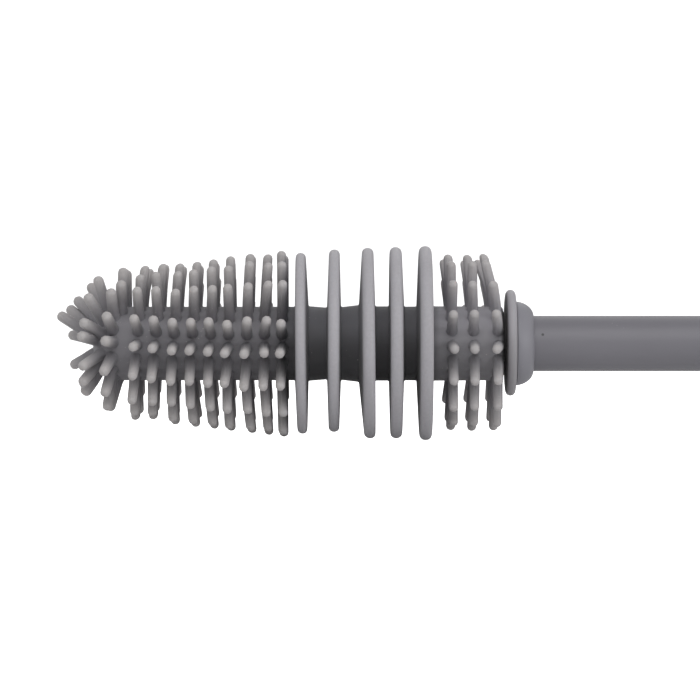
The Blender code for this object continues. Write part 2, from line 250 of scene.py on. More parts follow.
def lean_disc(bm, place, radius, leans, lift):
    """Pushes a disc's rim along the brush, by one amount at its top and another at its bottom, and up."""
    top, bottom = leans
    for vert in bm.verts:
        out = math.hypot(vert.co.y, vert.co.z)
        if abs(vert.co.x - place) < max(DISC_ROOTS) and out > BARREL_RADIUS + DISC_FILLET:
            share = (out - BARREL_RADIUS) / (radius - BARREL_RADIUS)
            up = vert.co.z / radius
            vert.co.x += share ** RIM_BEND_POWER * ((top + bottom) / 2 + up * (top - bottom) / 2) * MM
            vert.co.z += share * lift * MM


for place, radius, leans, lift in zip(DISCS, DISC_RADII, DISC_LEANS, DISC_LIFTS):
    lean_disc(head, place, radius, leans, lift)
lean_disc(head, (lip_start + lip_end) / 2, LIP_RADIUS, (0, 0), LIP_LIFT)
print("the rims lean by up to", max(abs(lean) for leans in DISC_LEANS for lean in leans), "mm")

# %% [markdown]
# ## One finger
#
# The head carries more than two hundred fingers, so the one that is copied must be cheap: nine
# sides and some sixty faces. It is turned from its own small outline: a flared foot, which stands
# for the fillet at its root, a shaft that tapers by a few tenths of a millimetre, and a domed tip.

# %% Turn the finger that is copied
FINGER_SIDES = 9
FINGER_LENGTH = 12.0 * MM
FINGER_ROOT = 1.36 * MM
FINGER_TIP = 1.2 * MM
TIP_DOME = 1.1 * MM
FOOT_FLARE = 0.25 * MM
FOOT_DEPTH = 0.4 * MM
FOOT_HEIGHT = 0.6 * MM
SHAFT_MIDDLE = 0.55
TIP_ANGLES = (0, 35, 65)


def finger_outline():
    """Points of a finger as (height, radius), from below its foot to the end of its tip."""
    shoulder = FINGER_LENGTH - TIP_DOME
    outline = [(-FOOT_DEPTH, 0), (-FOOT_DEPTH, FINGER_ROOT + FOOT_FLARE), (FOOT_HEIGHT, FINGER_ROOT)]
    outline.append((shoulder * SHAFT_MIDDLE, (FINGER_ROOT + FINGER_TIP) / 2))
    for angle in TIP_ANGLES:
        turn = math.radians(angle)
        outline.append((shoulder + TIP_DOME * math.sin(turn), FINGER_TIP * math.cos(turn)))
    outline.append((FINGER_LENGTH, 0))
    return outline


finger = turned(finger_outline(), sides=FINGER_SIDES)
upright = Matrix.Rotation(-math.pi / 2, 3, "Y")
bmesh.ops.rotate(finger, verts=finger.verts, cent=(0, 0, 0), matrix=upright)
finger_mesh = bpy.data.meshes.new("finger")
finger.to_mesh(finger_mesh)
finger.free()
print("finger:", len(finger_mesh.polygons), "faces, standing", FINGER_LENGTH / MM, "mm along Z")

# %% [markdown]
# ## Planting fingers
#
# A finger is planted by its foot on the sleeve and by where its tip ends. The copy is stretched in
# its shaft alone, so that every tip stays as round as the next, and then bent: each point moves by
# a power of its height that is a little over one, as a soft stalk leans that gives mostly at its
# root. A finger that stands askew on the dome has its flared foot turned back square to the dome.
# Sinking the whole foot deeper would hide its edge too, but the flare with it.

# %% Plant one finger
import random

SEED = 11
LEAN_SPREAD = 0.12 * MM
BEND_POWER = 1.3

chance = random.Random(SEED)
fingers = bmesh.new()


def plant(foot, tip, lean, girth=1, seat=None):
    """Adds a finger from a foot to a tip, bent by lean at its end. Girth is a factor of its thickness,
    and seat is the direction square to the surface under its foot, where that is not its own."""
    before = len(fingers.verts)
    fingers.from_mesh(finger_mesh)
    fingers.verts.ensure_lookup_table()
    added = fingers.verts[before:]
    length = (tip - foot).length
    shaft = FINGER_LENGTH - TIP_DOME - FOOT_HEIGHT
    for vert in added:
        share = min(max((vert.co.z - FOOT_HEIGHT) / shaft, 0), 1)
        vert.co.z += share * (length - FINGER_LENGTH)
        vert.co.xy *= girth
    flare = [vert for vert in added if vert.co.z < FOOT_HEIGHT + MERGE]
    aim = (tip - foot).to_track_quat("Z", "Y").to_matrix().to_4x4()
    bmesh.ops.transform(fingers, matrix=Matrix.Translation(foot) @ aim, verts=added)
    way = (tip - foot).normalized()
    if seat:
        turn_back = way.rotation_difference(seat).to_matrix()
        bmesh.ops.rotate(fingers, verts=flare, cent=foot, matrix=turn_back)
    for vert in added:
        height = max((vert.co - foot).dot(way), 0) / length
        vert.co += lean * height ** BEND_POWER


def heading(polar, turn):
    """Direction at an angle from straight ahead and a turn round the axis, from -Y by way of +Z."""
    across = math.sin(polar)
    return Vector((-math.cos(polar), -across * math.cos(turn), across * math.sin(turn)))


def stray():
    """A small lean by chance, in any direction."""
    return Vector([chance.gauss(0, LEAN_SPREAD) for _ in range(3)])


# %% [markdown]
# ## Rings round the sleeve
#
# Nine rings of sixteen fingers stand in front of the discs and grow longer towards them, and three
# stand behind. Each ring has taken a set: its tips lean along the brush and sit high or low, by
# other amounts at the bottom, at the side and at the top. The head is wrung by a few degrees
# towards its nose, and its rings of feet slant by up to a millimetre, as the sleeve never sits
# quite straight on its core. Two of the rings stand a little nearer the nose than their pitch says.
# A table with all 192 fingers would say this in many more numbers, so each ring lists its leans and
# lifts at a few turns round the axis, the rest are read off between them, and only the few odd
# fingers that stand out of line are named. All these leans, lifts, slants, nudges and reaches are
# in millimetres, and the phases, twists, turns and shifts in degrees.

# %% Read a value off between turns
def around(turn, turns, values):
    """Value at a turn in degrees, with straight lines between the values that are known at some turns."""
    turns = [*turns, turns[0] + 360]
    values = [*values, values[0]]
    turn = (turn - turns[0]) % 360 + turns[0]
    after = next(n for n in range(1, len(turns)) if turn <= turns[n])
    share = (turn - turns[after - 1]) / (turns[after] - turns[after - 1])
    return values[after - 1] + share * (values[after] - values[after - 1])


# %% A ring of fingers
FINGERS_PER_RING = 16
ROW_TURNS = (-28, -5, 18, 40, 63)


def plant_ring(place, reach, phase, shifts, slant, set_turns, leans, lifts, odd):
    """Plants a ring. In mm: its reach, how far its top and its far feet stand askew towards the handle,
    at some turns its leans along the brush and up, and what its odd fingers add, by number."""
    for n in range(FINGERS_PER_RING):
        turn = phase + 360 / FINGERS_PER_RING * n
        out = heading(math.pi / 2, math.radians(turn + around(turn, ROW_TURNS, shifts)))
        along = Vector((place, 0, 0))
        more_lean, more_lift = odd.get(n, (0, 0))
        lean = around(turn, set_turns, leans) + more_lean
        lift = around(turn, set_turns, lifts) + more_lift
        askew = (out.z * slant[0] + out.y * slant[1]) * MM
        foot = along + out * BARREL_RADIUS + Vector((askew, 0, 0))
        plant(foot, along + out * reach * MM, Vector((lean, 0, lift)) * MM + stray())


# %% Plant the rings in front of the discs
FIRST_RING = 4.265 * MM
RING_PITCH = 4.53 * MM
FRONT_REACHES = (19.3, 19.65, 20.2, 20.65, 21.3, 21.9, 22.65, 22.6, 23.35)
FRONT_PHASE = 17.0
FRONT_TWISTS = (3.9, 2.8, 1.1, 1.1, -0.5, -1.1, -1.1, -0.4, -0.8)
FRONT_NUDGES = (0, 0, 0, 0, 0, 0, 0, -0.15, -0.3)
FRONT_SLANTS = (0.75, 0.9, 0.7, 0.75, 0.6, 0.4, 0.3, 0.1, 0.1)
FRONT_TURNS = (-73, -28, -5, 17, 40, 86, 180)
FRONT_LEANS = (
    (-1.1, -0.6, -0.2, -0.1, 0.3, 1.8, 0.0), (-0.85, -0.6, 0.0, -0.2, 0.4, 1.5, -1.3),
    (0.0, -0.4, 0.1, 0.1, 0.7, 1.4, -0.8), (0.4, -0.4, 0.0, 0.3, 0.6, 1.0, 1.0),
    (0.65, -0.2, 0.0, 0.3, 0.8, 0.7, 0.6), (0.35, -0.9, -0.6, 0.0, 0.1, 0.1, 0.1),
    (1.2, -0.5, -0.4, 0.7, 0.8, 0.95, 0.0), (1.05, -0.05, 0.25, 1.05, 1.35, 0.5, 0.1),
    (0.15, -0.3, -0.1, 0.1, 0.2, -0.3, -0.2))
FRONT_LIFTS = (
    (0.1, -0.7, 0.1, -0.2, -0.2, 0.1, 0.1), (0.4, -0.9, -0.2, -0.2, 0.0, 0.4, 0.4),
    (-0.2, -0.7, -0.2, -0.2, -0.9, -0.2, -0.2), (-0.2, -0.5, 0.1, -0.2, -0.3, -0.2, -0.2),
    (0.0, -0.1, 0.1, 0.0, -0.2, 0.0, 0.0), (0.0, 0.2, 0.4, -0.6, 0.0, 0.0, 0.0),
    (0.0, -0.3, -0.1, 0.1, -0.2, 0.0, 0.0), (-0.2, -0.4, 0.2, 0.0, -0.1, -0.2, -0.2),
    (-0.2, 0.4, 0.2, -1.0, -0.3, -0.2, -0.2))
# By ring and by finger, both counted from 0: what the odd ones lean and lift besides.
ODD_FINGERS = {
    0: {2: (-0.4, -0.45), 4: (0.85, 0.65), 10: (0.45, 0), 13: (0, -0.5)},
    1: {2: (-1.05, -0.5), 4: (0.8, 0.75), 13: (0.45, -0.5)},
    2: {2: (0, 0.5), 4: (0.6, 0.4), 13: (0, 0.5)},
    3: {2: (-0.3, 0), 4: (0.4, 0)},
    4: {2: (-0.3, 0.3)},
    6: {2: (0, 0.5), 13: (0.2, 0.8)},
    8: {4: (0.5, 0), 13: (0.55, 0.2)}}
FRONT_SHIFTS = (0, -0.8, -1.9, 2.6, 0)


def front_ring(n):
    place = FIRST_RING + n * RING_PITCH + FRONT_NUDGES[n] * MM
    phase = FRONT_PHASE + FRONT_TWISTS[n]
    slant = (FRONT_SLANTS[n], 0)
    plant_ring(
        place, FRONT_REACHES[n], phase, FRONT_SHIFTS, slant, FRONT_TURNS, FRONT_LEANS[n], FRONT_LIFTS[n],
        ODD_FINGERS.get(n, {}))


for n in range(len(FRONT_REACHES)):
    front_ring(n)
print("in front of the discs:", len(FRONT_REACHES), "rings of", FINGERS_PER_RING, "fingers")

# %% Plant the rings behind the discs
REAR_SHIFTS = (0, -0.4, 1.0, 1.8, 2.2)
REAR_PITCH = 5.37 * MM
REAR_RING_TO_END = 2.1 * MM
REAR_REACH = 21.8
REAR_PHASE = 18.9
REAR_SLANTS = ((-0.25, 0), (-0.35, 0), (-0.15, -0.7))
REAR_TURNS = (-73, -26, -4, 41, 64, 86, 109, 131, 221)
REAR_LEANS = (
    (0.4, 0.2, 0.3, 0.0, -0.3, -0.8, -1.8, -0.9, -0.9),
    (-0.05, -0.1, -0.2, -0.4, -0.6, -1.25, -1.9, -1.2, -0.8),
    (0.1, 0.5, -0.2, -0.95, -2.95, -3.0, -3.9, -2.0, -0.6))
REAR_LIFTS = (0, 0, 0, 0.2, 0.45, 0.5, 0.6, 0.3, 0)
last_rear_ring = sleeve_end - REAR_RING_TO_END


def rear_ring(n):
    place = last_rear_ring - (len(REAR_LEANS) - 1 - n) * REAR_PITCH
    plant_ring(
        place, REAR_REACH, REAR_PHASE, REAR_SHIFTS, REAR_SLANTS[n], REAR_TURNS, REAR_LEANS[n], REAR_LIFTS,
        {})


for n in range(len(REAR_LEANS)):
    rear_ring(n)
print("behind the discs:", len(REAR_LEANS), "rings of", FINGERS_PER_RING, "fingers")

# %% [markdown]
# ## The fan on the nose
#
# Three rings fan out over the dome. Here the fingers are crowded, and each was pushed its own way
# when the brush came out of the mould, so their directions are a list: how far a finger is turned
# round the axis, the angle from straight ahead at which its foot stands and at which its tip
# points, and how far the tip reaches from the dome's centre.

# %% Plant the fan
FAN_GIRTH = 1.1
# Each finger: its turn, the angles of its foot and of its tip, all in degrees, and its reach in mm.
SIDE_FAN = (
    (2, 76, 80.4, 18.2), (23, 76, 81.3, 18.2), (47, 78, 84, 18.2), (58, 92, 91.5, 18.2),
    (86, 92, 91.3, 19.0), (103, 97, 92.6, 19.0), (118, 88, 90, 17.4), (160, 74, 79, 18.2),
    (182, 74, 79, 18.2), (205, 74, 79, 18.2), (228, 74, 79, 18.2), (250, 74, 79, 18.2),
    (-89, 81, 79.4, 17.2), (-68, 74, 79.5, 18.2), (-46, 74, 79, 18.2), (-24, 74, 79, 18.2))
MIDDLE_FAN = (
    (7, 40, 59, 18.0), (19.5, 52, 61, 18.2), (47, 55, 64, 18.2), (76, 62, 71, 18.2), (110, 55, 62, 18.2),
    (140, 50, 60, 18.0), (165, 50, 60, 18.0), (190, 50, 60, 18.0), (-145, 50, 60, 18.0),
    (-122, 46, 55, 18.2), (-62, 49, 58.2, 17.0), (-40, 47, 59.2, 18.1), (-22, 50, 60, 18.2))
FRONT_FAN = (
    (72, 12, 26.2, 17.6), (127, 25, 39, 18.2), (118, 36, 47, 17.8),
    (168, 25, 38.5, 17.8), (-151, 28, 41, 17.8), (-120, 36, 50, 16.5))

dome_shape = Matrix.Diagonal((DOME_LENGTH, BARREL_RADIUS, BARREL_RADIUS))


def plant_fan():
    for turn, foot_angle, tip_angle, reach in SIDE_FAN + MIDDLE_FAN + FRONT_FAN:
        out = heading(math.radians(foot_angle), math.radians(turn))
        tip = heading(math.radians(tip_angle), math.radians(turn)) * reach * MM
        square = (dome_shape.inverted() @ out).normalized()
        plant(dome_shape @ out, tip, Vector((0, 0, 0)), FAN_GIRTH, square)


plant_fan()
print("fan:", len(SIDE_FAN), "+", len(MIDDLE_FAN), "+", len(FRONT_FAN), "fingers")

# %% Sleeve and fingers in one piece
# The foot of each finger is sunk in the sleeve, so the two meet without a gap.
planted = bpy.data.meshes.new("planted")
fingers.to_mesh(planted)
fingers.free()
head.from_mesh(planted)

silicone_nodes = ["nose_fingers", "front_fingers", "disc_barrel", "rear_fingers", "end_flange"]
silicone_nodes += [f"disc_{n + 1}" for n in range(len(DISCS))]
head_moulding = piece("head_moulding", head, "head", "silicone", *silicone_nodes)

# %% [markdown]
# ## Collar and handle tube
#
# Behind the lip sits a small dome of hard plastic, a little leaner than a quarter of an ellipse, so
# its outline is a superellipse: the same formula with a power just under two. The handle behind it
# is a plain tube.

# %% Turn the collar
COLLAR_RADIUS = 10.45 * MM
COLLAR_END_RADIUS = 7.25 * MM
COLLAR_BORE = 6.95 * MM
COLLAR_WALL = 1.3 * MM
COLLAR_FULLNESS = 1.8
COLLAR_STEPS = 16
COLLAR_CHAMFER = 0.15 * MM
COLLAR_SET_BACK = 0.2 * MM
LIP_TO_COLLAR = 0.04 * MM
TUBE_BORE = 5.2 * MM

collar_start = lip_end + LIP_TO_COLLAR
collar_end = span("dome_collar")[1] - COLLAR_SET_BACK
collar_outline = [Vector((collar_start, COLLAR_RADIUS - COLLAR_CHAMFER))]
for n in range(COLLAR_STEPS + 1):
    angle = math.pi / 2 * n / COLLAR_STEPS
    along = math.sin(angle) ** (2 / COLLAR_FULLNESS) * (collar_end - collar_start - COLLAR_CHAMFER)
    across = math.cos(angle) ** (2 / COLLAR_FULLNESS) * (COLLAR_RADIUS - COLLAR_END_RADIUS)
    collar_outline.append(Vector((collar_start + COLLAR_CHAMFER + along, COLLAR_END_RADIUS + across)))
collar_outline += [Vector((collar_end, COLLAR_BORE)), Vector((collar_start + COLLAR_WALL, COLLAR_BORE))]
collar_outline += [Vector((collar_start + COLLAR_WALL, TUBE_BORE)), Vector((collar_start, TUBE_BORE))]
collar = turned(collar_outline, closed=True)
collar_dome = piece("collar_dome", collar, "handle", "handle_plastic", "dome_collar")

# %% Turn the tube
TUBE_RADIUS = 6.92 * MM
TUBE_EDGE = 0.3 * MM

tube_start, tube_end = span("handle_tube")
tube_corners = [(tube_start, TUBE_BORE, 0), (tube_start, TUBE_RADIUS, TUBE_EDGE),
                (tube_end, TUBE_RADIUS, TUBE_EDGE), (tube_end, TUBE_BORE, 0)]
tube = turned(rounded(tube_corners), closed=True)
handle_rod = piece("handle_rod", tube, "handle", "handle_plastic", "handle_tube")

# %% [markdown]
# ## The hanging tab
#
# The handle ends in a cap: round where it meets the tube, then flattened on two sides, with a slot
# for a hook. The flats could be cut with a Boolean and bevelled. Pressing the turned shape flat is
# simpler: every point above the flat comes down to it, and a soft limit leaves a rounded edge
# instead of a crease.

# %% Turn the cap and press it flat
CAP_PLUG_RADIUS = 4.9 * MM
CAP_PLUG_CHAMFER = 1.0 * MM
CAP_SHOULDER = 2.5 * MM
CAP_SLOPE = 3.0 * MM
CAP_RING_STEP = 0.4 * MM
CAP_END_STEPS = 16
CAP_SEAM = 0.3 * MM
TAB_HALF_THICKNESS = 3.5 * MM
TAB_EDGE = 0.7 * MM

cap_plug_start, cap_end = span("end_cap")
cap_start = tube_end + CAP_SEAM


def cap_outline():
    """The cap before it is flattened: its plug, then a rod of the tube's radius with a round end."""
    outline = rounded([(cap_plug_start, 0, 0), (cap_plug_start, CAP_PLUG_RADIUS - CAP_PLUG_CHAMFER, 0),
                       (cap_plug_start + CAP_PLUG_CHAMFER, CAP_PLUG_RADIUS, 0),
                       (cap_start, CAP_PLUG_RADIUS, 0), (cap_start, TUBE_RADIUS, TUBE_EDGE),
                       (cap_start + CAP_SHOULDER, TUBE_RADIUS, 0)])
    round_start = cap_end - TUBE_RADIUS
    rings = round((round_start - cap_start - CAP_SHOULDER) / CAP_RING_STEP)
    step = (round_start - cap_start - CAP_SHOULDER) / rings
    outline += [Vector((cap_start + CAP_SHOULDER + n * step, TUBE_RADIUS)) for n in range(1, rings)]
    for n in range(CAP_END_STEPS + 1):
        angle = math.pi / 2 * n / CAP_END_STEPS
        along, across = TUBE_RADIUS * math.sin(angle), TUBE_RADIUS * math.cos(angle)
        outline.append(Vector((round_start + along, across)))
    outline[-1].y = 0
    return outline


def eased(share):
    """A share from 0 to 1 that starts and ends gently."""
    return share * share * (3 - 2 * share)


def pressed(height, limit):
    """A height brought down to a limit, with a bend where the two meet."""
    over = abs(height) - (limit - TAB_EDGE)
    if over <= 0:
        return height
    if over >= 2 * TAB_EDGE:
        return math.copysign(limit, height)
    return math.copysign(limit - TAB_EDGE + over - over ** 2 / (4 * TAB_EDGE), height)


cap = turned(cap_outline())
for vert in cap.verts:
    if vert.co.x > cap_start + CAP_SHOULDER:
        share = eased(min((vert.co.x - cap_start - CAP_SHOULDER) / CAP_SLOPE, 1))
        limit = TUBE_RADIUS + TAB_EDGE - share * (TUBE_RADIUS + TAB_EDGE - TAB_HALF_THICKNESS)
        vert.co.z = pressed(vert.co.z, limit)
hanging_tab = piece("hanging_tab", cap, "handle", "handle_plastic", "end_cap")

# %% [markdown]
# A hook wants a slot with a soft mouth. The cutter is a rounded bar that widens towards both faces
# of the tab, so one Boolean cuts the slot and its rounded edges together.

# %% Cut the slot
SLOT_WIDTH = 6.6 * MM
SLOT_LENGTH = 14.0 * MM
SLOT_END_WALL = 3.2 * MM
SLOT_MOUTH = 0.7 * MM
SLOT_SIDES = 48
SLOT_MOUTH_ANGLES = range(0, 91, 15)
CUT_MARGIN = 2.0 * MM


def slot_cutter():
    """A bar with round ends, stood through the tab, that flares by a quarter circle at each face."""
    bm = bmesh.new()
    radius = SLOT_WIDTH / 2
    straight = SLOT_LENGTH / 2 - radius
    turns = [math.radians(angle) for angle in SLOT_MOUTH_ANGLES]
    heights = [-TAB_HALF_THICKNESS - CUT_MARGIN]
    heights += [-TAB_HALF_THICKNESS + SLOT_MOUTH * (1 - math.cos(turn)) for turn in turns]
    heights += [-height for height in reversed(heights)]
    ring = bmesh.ops.create_circle(bm, cap_ends=False, segments=SLOT_SIDES, radius=radius)["verts"]
    bmesh.ops.translate(bm, verts=ring, vec=(0, 0, heights[0]))
    edges = list(bm.edges)
    for height in heights[1:]:
        made = bmesh.ops.extrude_edge_only(bm, edges=edges)["geom"]
        edges = [item for item in made if isinstance(item, bmesh.types.BMEdge) and item.is_boundary]
        verts = {vert for edge in edges for vert in edge.verts}
        for vert in verts:
            vert.co.z = height
    bmesh.ops.holes_fill(bm, edges=[edge for edge in bm.edges if edge.is_boundary], sides=SLOT_SIDES)
    for vert in bm.verts:
        depth = TAB_HALF_THICKNESS - abs(vert.co.z)
        inside = min(max(1 - depth / SLOT_MOUTH, 0), 1)
        flare = SLOT_MOUTH * (1 - math.sqrt(1 - inside ** 2))
        vert.co.x *= 1 + flare / radius
        vert.co.y *= 1 + flare / radius
        vert.co.x += math.copysign(straight, vert.co.x) if abs(vert.co.x) > MERGE else 0
    bmesh.ops.recalc_face_normals(bm, faces=bm.faces)
    centre = cap_end - SLOT_END_WALL - SLOT_LENGTH / 2
    bmesh.ops.translate(bm, verts=bm.verts, vec=(dome_centre + centre, 0, axis_height))
    mesh = bpy.data.meshes.new("slot_cutter")
    bm.to_mesh(mesh)
    bm.free()
    return bpy.data.objects.new("slot_cutter", mesh)


def cut(obj, cutter):
    """Cuts the cutter's shape out of obj for good, and throws the cutter away."""
    bpy.context.scene.collection.objects.link(cutter)
    change = obj.modifiers.new("Cut", "BOOLEAN")
    change.operation = "DIFFERENCE"
    change.solver = "EXACT"
    change.object = cutter
    graph = bpy.context.evaluated_depsgraph_get()
    mesh = bpy.data.meshes.new_from_object(obj.evaluated_get(graph))
    obj.modifiers.clear()
    obj.data = mesh
    bpy.data.objects.remove(cutter)
    mesh.shade_smooth()
    mesh.set_sharp_from_angle(angle=SHARP_ANGLE)


cut(hanging_tab, slot_cutter())
print("hanging_tab has", len(hanging_tab.data.polygons), "faces with its slot")

# %% [markdown]
# ## The ribbed core
#
# Under the head a stiff core of natural polypropylene carries six ribs. It shows when the head is
# pulled off. The flutes between the ribs could be six Boolean cuts. Here each point of a turned bar
# is drawn in to where a round cutter would leave it, and the cutter's depth eases out before the
# shoulder, as a real flute runs out.

# %% Turn the core and sink its flutes
CORE_SIDES = 144
CORE_RADIUS = 6.2 * MM
CORE_CHAMFER = 2.0 * MM
CORE_FLUTES = 6
FLUTE_RADIUS = 2.2 * MM
FLUTE_RUNOUT = 3.0 * MM
CORE_SHOULDER = 3.0 * MM
CORE_RING_STEP = 1.5 * MM
CORE_TIP_ROUNDING = 0.5 * MM
CORE_SEAM = 0.3 * MM

core_start, core_end = span("fluted_core")
core_seat = span("dome_collar")[0] - CORE_SEAM
flute_end = core_seat - CORE_SHOULDER


def core_outline():
    """The core's bar, with rings close enough for its flutes, and the plug that holds it in the tube."""
    outline = rounded([(core_start, 0, 0), (core_start, CORE_RADIUS - CORE_CHAMFER, CORE_TIP_ROUNDING),
                       (core_start + CORE_CHAMFER, CORE_RADIUS, CORE_TIP_ROUNDING),
                       (core_seat, CORE_RADIUS, 0)])
    outline.pop()
    rings = round((core_seat - outline[-1].x) / CORE_RING_STEP)
    step = (core_seat - outline[-1].x) / rings
    outline += [Vector((core_seat - (rings - n) * step, CORE_RADIUS)) for n in range(1, rings)]
    outline += rounded([(core_seat, CORE_RADIUS, 0), (core_seat, CAP_PLUG_RADIUS, 0),
                        (core_end - CAP_PLUG_CHAMFER, CAP_PLUG_RADIUS, 0),
                        (core_end, CAP_PLUG_RADIUS - CAP_PLUG_CHAMFER, 0), (core_end, 0, 0)])
    return outline


def flute_depth(turn):
    """How far a full flute lies below the core's surface, at a turn round the axis."""
    apart = 2 * math.pi / CORE_FLUTES
    off = (turn / apart - math.floor(turn / apart) - 0.5) * apart
    side = CORE_RADIUS * math.sin(off)
    if abs(side) >= FLUTE_RADIUS:
        return 0
    left = CORE_RADIUS * math.cos(off) - math.sqrt(FLUTE_RADIUS ** 2 - side ** 2)
    return CORE_RADIUS - left


core = turned(core_outline(), sides=CORE_SIDES)
for vert in core.verts:
    out = math.hypot(vert.co.y, vert.co.z)
    if out > MERGE and vert.co.x < flute_end:
        share = eased(min((flute_end - vert.co.x) / FLUTE_RUNOUT, 1))
        left = CORE_RADIUS - share * flute_depth(math.atan2(vert.co.z, vert.co.y))
        vert.co.yz = vert.co.yz * min(left / out, 1)
ribbed_core = piece("ribbed_core", core, "handle", "core_plastic", "fluted_core")

# %% [markdown]
# ## Finishes
#
# Three plastics: matt silicone, satin polypropylene for the handle and natural polypropylene for
# the core. What they share is built once as node groups: the fine grain that a mould leaves, a slow
# drift of tone, and the dust that settles on all of them. Each material places a group with its own
# values.

# %% Help with node groups
def new_group(name, inputs, outputs):
    """An empty node group with its sockets: names, kinds and starting values."""
    group = bpy.data.node_groups.new(name, "ShaderNodeTree")
    for label, kind, value in inputs:
        socket = group.interface.new_socket(label, in_out="INPUT", socket_type=kind)
        if value is not None:
            socket.default_value = value
    for label, kind in outputs:
        group.interface.new_socket(label, in_out="OUTPUT", socket_type=kind)
    return group, group.nodes.new("NodeGroupInput"), group.nodes.new("NodeGroupOutput")


def join(tree, pairs):
    """Links pairs of sockets."""
    for source, target in pairs:
        tree.links.new(source, target)


def feed(tree, target, value):
    """Links a socket to an input, or sets a number or colour on it."""
    if isinstance(value, bpy.types.NodeSocket):
        tree.links.new(value, target)
    else:
        target.default_value = value


def math_node(tree, operation, *values):
    """A Math node whose inputs are sockets or numbers. Returns its output."""
    node = tree.nodes.new("ShaderNodeMath")
    node.operation = operation
    for target, value in zip(node.inputs, values):
        feed(tree, target, value)
    return node.outputs[0]


def noise(tree, vector, scale, detail=2.0, roughness=0.5):
    """A noise texture on a vector. Its scale is a number of features in a metre."""
    node = tree.nodes.new("ShaderNodeTexNoise")
    values = {"Vector": vector, "Scale": scale, "Detail": detail, "Roughness": roughness}
    for label, value in values.items():
        feed(tree, node.inputs[label], value)
    return node.outputs[0]


def ramp(tree, value, low, high):
    """A value stretched so that low becomes 0 and high becomes 1."""
    node = tree.nodes.new("ShaderNodeMapRange")
    node.interpolation_type = "SMOOTHSTEP"
    for label, number in (("Value", value), ("From Min", low), ("From Max", high)):
        feed(tree, node.inputs[label], number)
    return node.outputs["Result"]


# %% Mould grain
COARSE_GRAIN = 0.22
FINE_SHARE = 0.6

grain, grain_in, grain_out = new_group(
    "Mould grain", [("Vector", "NodeSocketVector", None), ("Scale", "NodeSocketFloat", 4000.0)],
    [("Height", "NodeSocketFloat")])
fine = noise(grain, grain_in.outputs["Vector"], grain_in.outputs["Scale"], detail=3.0, roughness=0.6)
coarse_scale = math_node(grain, "MULTIPLY", grain_in.outputs["Scale"], COARSE_GRAIN)
coarse = noise(grain, grain_in.outputs["Vector"], coarse_scale, detail=1.0)
fine_part = math_node(grain, "MULTIPLY", fine, FINE_SHARE)
coarse_part = math_node(grain, "MULTIPLY", coarse, 1 - FINE_SHARE)
feed(grain, grain_out.inputs["Height"], math_node(grain, "ADD", fine_part, coarse_part))

# %% Drift of tone
drift, drift_in, drift_out = new_group(
    "Tone drift",
    [("Vector", "NodeSocketVector", None), ("Color", "NodeSocketColor", (0.5, 0.5, 0.5, 1)),
     ("Scale", "NodeSocketFloat", 60.0), ("Amount", "NodeSocketFloat", 0.1)],
    [("Color", "NodeSocketColor")])
slow = noise(drift, drift_in.outputs["Vector"], drift_in.outputs["Scale"], detail=3.0)
swing = math_node(drift, "MULTIPLY", math_node(drift, "SUBTRACT", slow, 0.5), drift_in.outputs["Amount"])
lightness = math_node(drift, "MULTIPLY_ADD", swing, 2.0, 1.0)
tone = drift.nodes.new("ShaderNodeVectorMath")
tone.operation = "SCALE"
join(drift, [(drift_in.outputs["Color"], tone.inputs[0]), (lightness, tone.inputs["Scale"]),
             (tone.outputs[0], drift_out.inputs["Color"])])

# %% Settled dust
PATCH_SCALE = 70.0
PATCH_FROM = 0.5
PATCH_TO = 0.68

dust, dust_in, dust_out = new_group(
    "Settled dust",
    [("Vector", "NodeSocketVector", None), ("Scale", "NodeSocketFloat", 900.0),
     ("Size", "NodeSocketFloat", 0.1)],
    [("Mask", "NodeSocketFloat")])
cells = dust.nodes.new("ShaderNodeTexVoronoi")
cells.inputs["Randomness"].default_value = 1.0
join(dust, [(dust_in.outputs["Vector"], cells.inputs["Vector"]),
            (dust_in.outputs["Scale"], cells.inputs["Scale"])])
speck = math_node(dust, "LESS_THAN", cells.outputs["Distance"], dust_in.outputs["Size"])
patches = ramp(dust, noise(dust, dust_in.outputs["Vector"], PATCH_SCALE), PATCH_FROM, PATCH_TO)
feed(dust, dust_out.inputs["Mask"], math_node(dust, "MULTIPLY", speck, patches))
print("node groups:", ", ".join(group.name for group in bpy.data.node_groups))

# %% [markdown]
# ## Silicone
#
# The silicone is a matt grey. What gives it away as rubber is a broad, weak gloss, light that sinks
# in a little before it comes out again, which softens its shadows, a hair of sheen where it turns
# away, and tips paler than their shafts: partly wear, partly painted shade that keeps the shafts and
# the sleeve darker where the fingers crowd. Paint on each finger would be one way. Here the paler
# tone follows how high a point stands between the sleeve and the local ends of the fingers, so it
# starts at the same share of every finger, whichever way it leans. More painted shade darkens the
# sleeve between the discs and just before them, the discs' flanks below their rims, the sleeve in
# front of the discs against the one behind them, and the groove before the lip. The upper side of
# the bare sleeve is painted paler, as light falling from above.

# %% Help with materials
def new_material(name):
    """A material with its shader and a coordinate whose origin lies on the brush's axis."""
    made = bpy.data.materials.new(name)
    made.use_nodes = True
    tree = made.node_tree
    place = tree.nodes.new("ShaderNodeTexCoord")
    centred = tree.nodes.new("ShaderNodeMapping")
    centred.inputs["Location"].default_value = (-dome_centre, 0, -axis_height)
    tree.links.new(place.outputs["Object"], centred.inputs["Vector"])
    return made, tree, tree.nodes["Principled BSDF"], centred.outputs["Vector"]


def place_group(tree, group, **values):
    """Places a node group. A value is a socket to link or a number or colour to set."""
    node = tree.nodes.new("ShaderNodeGroup")
    node.node_tree = group
    for label, value in values.items():
        feed(tree, node.inputs[label], value)
    return node


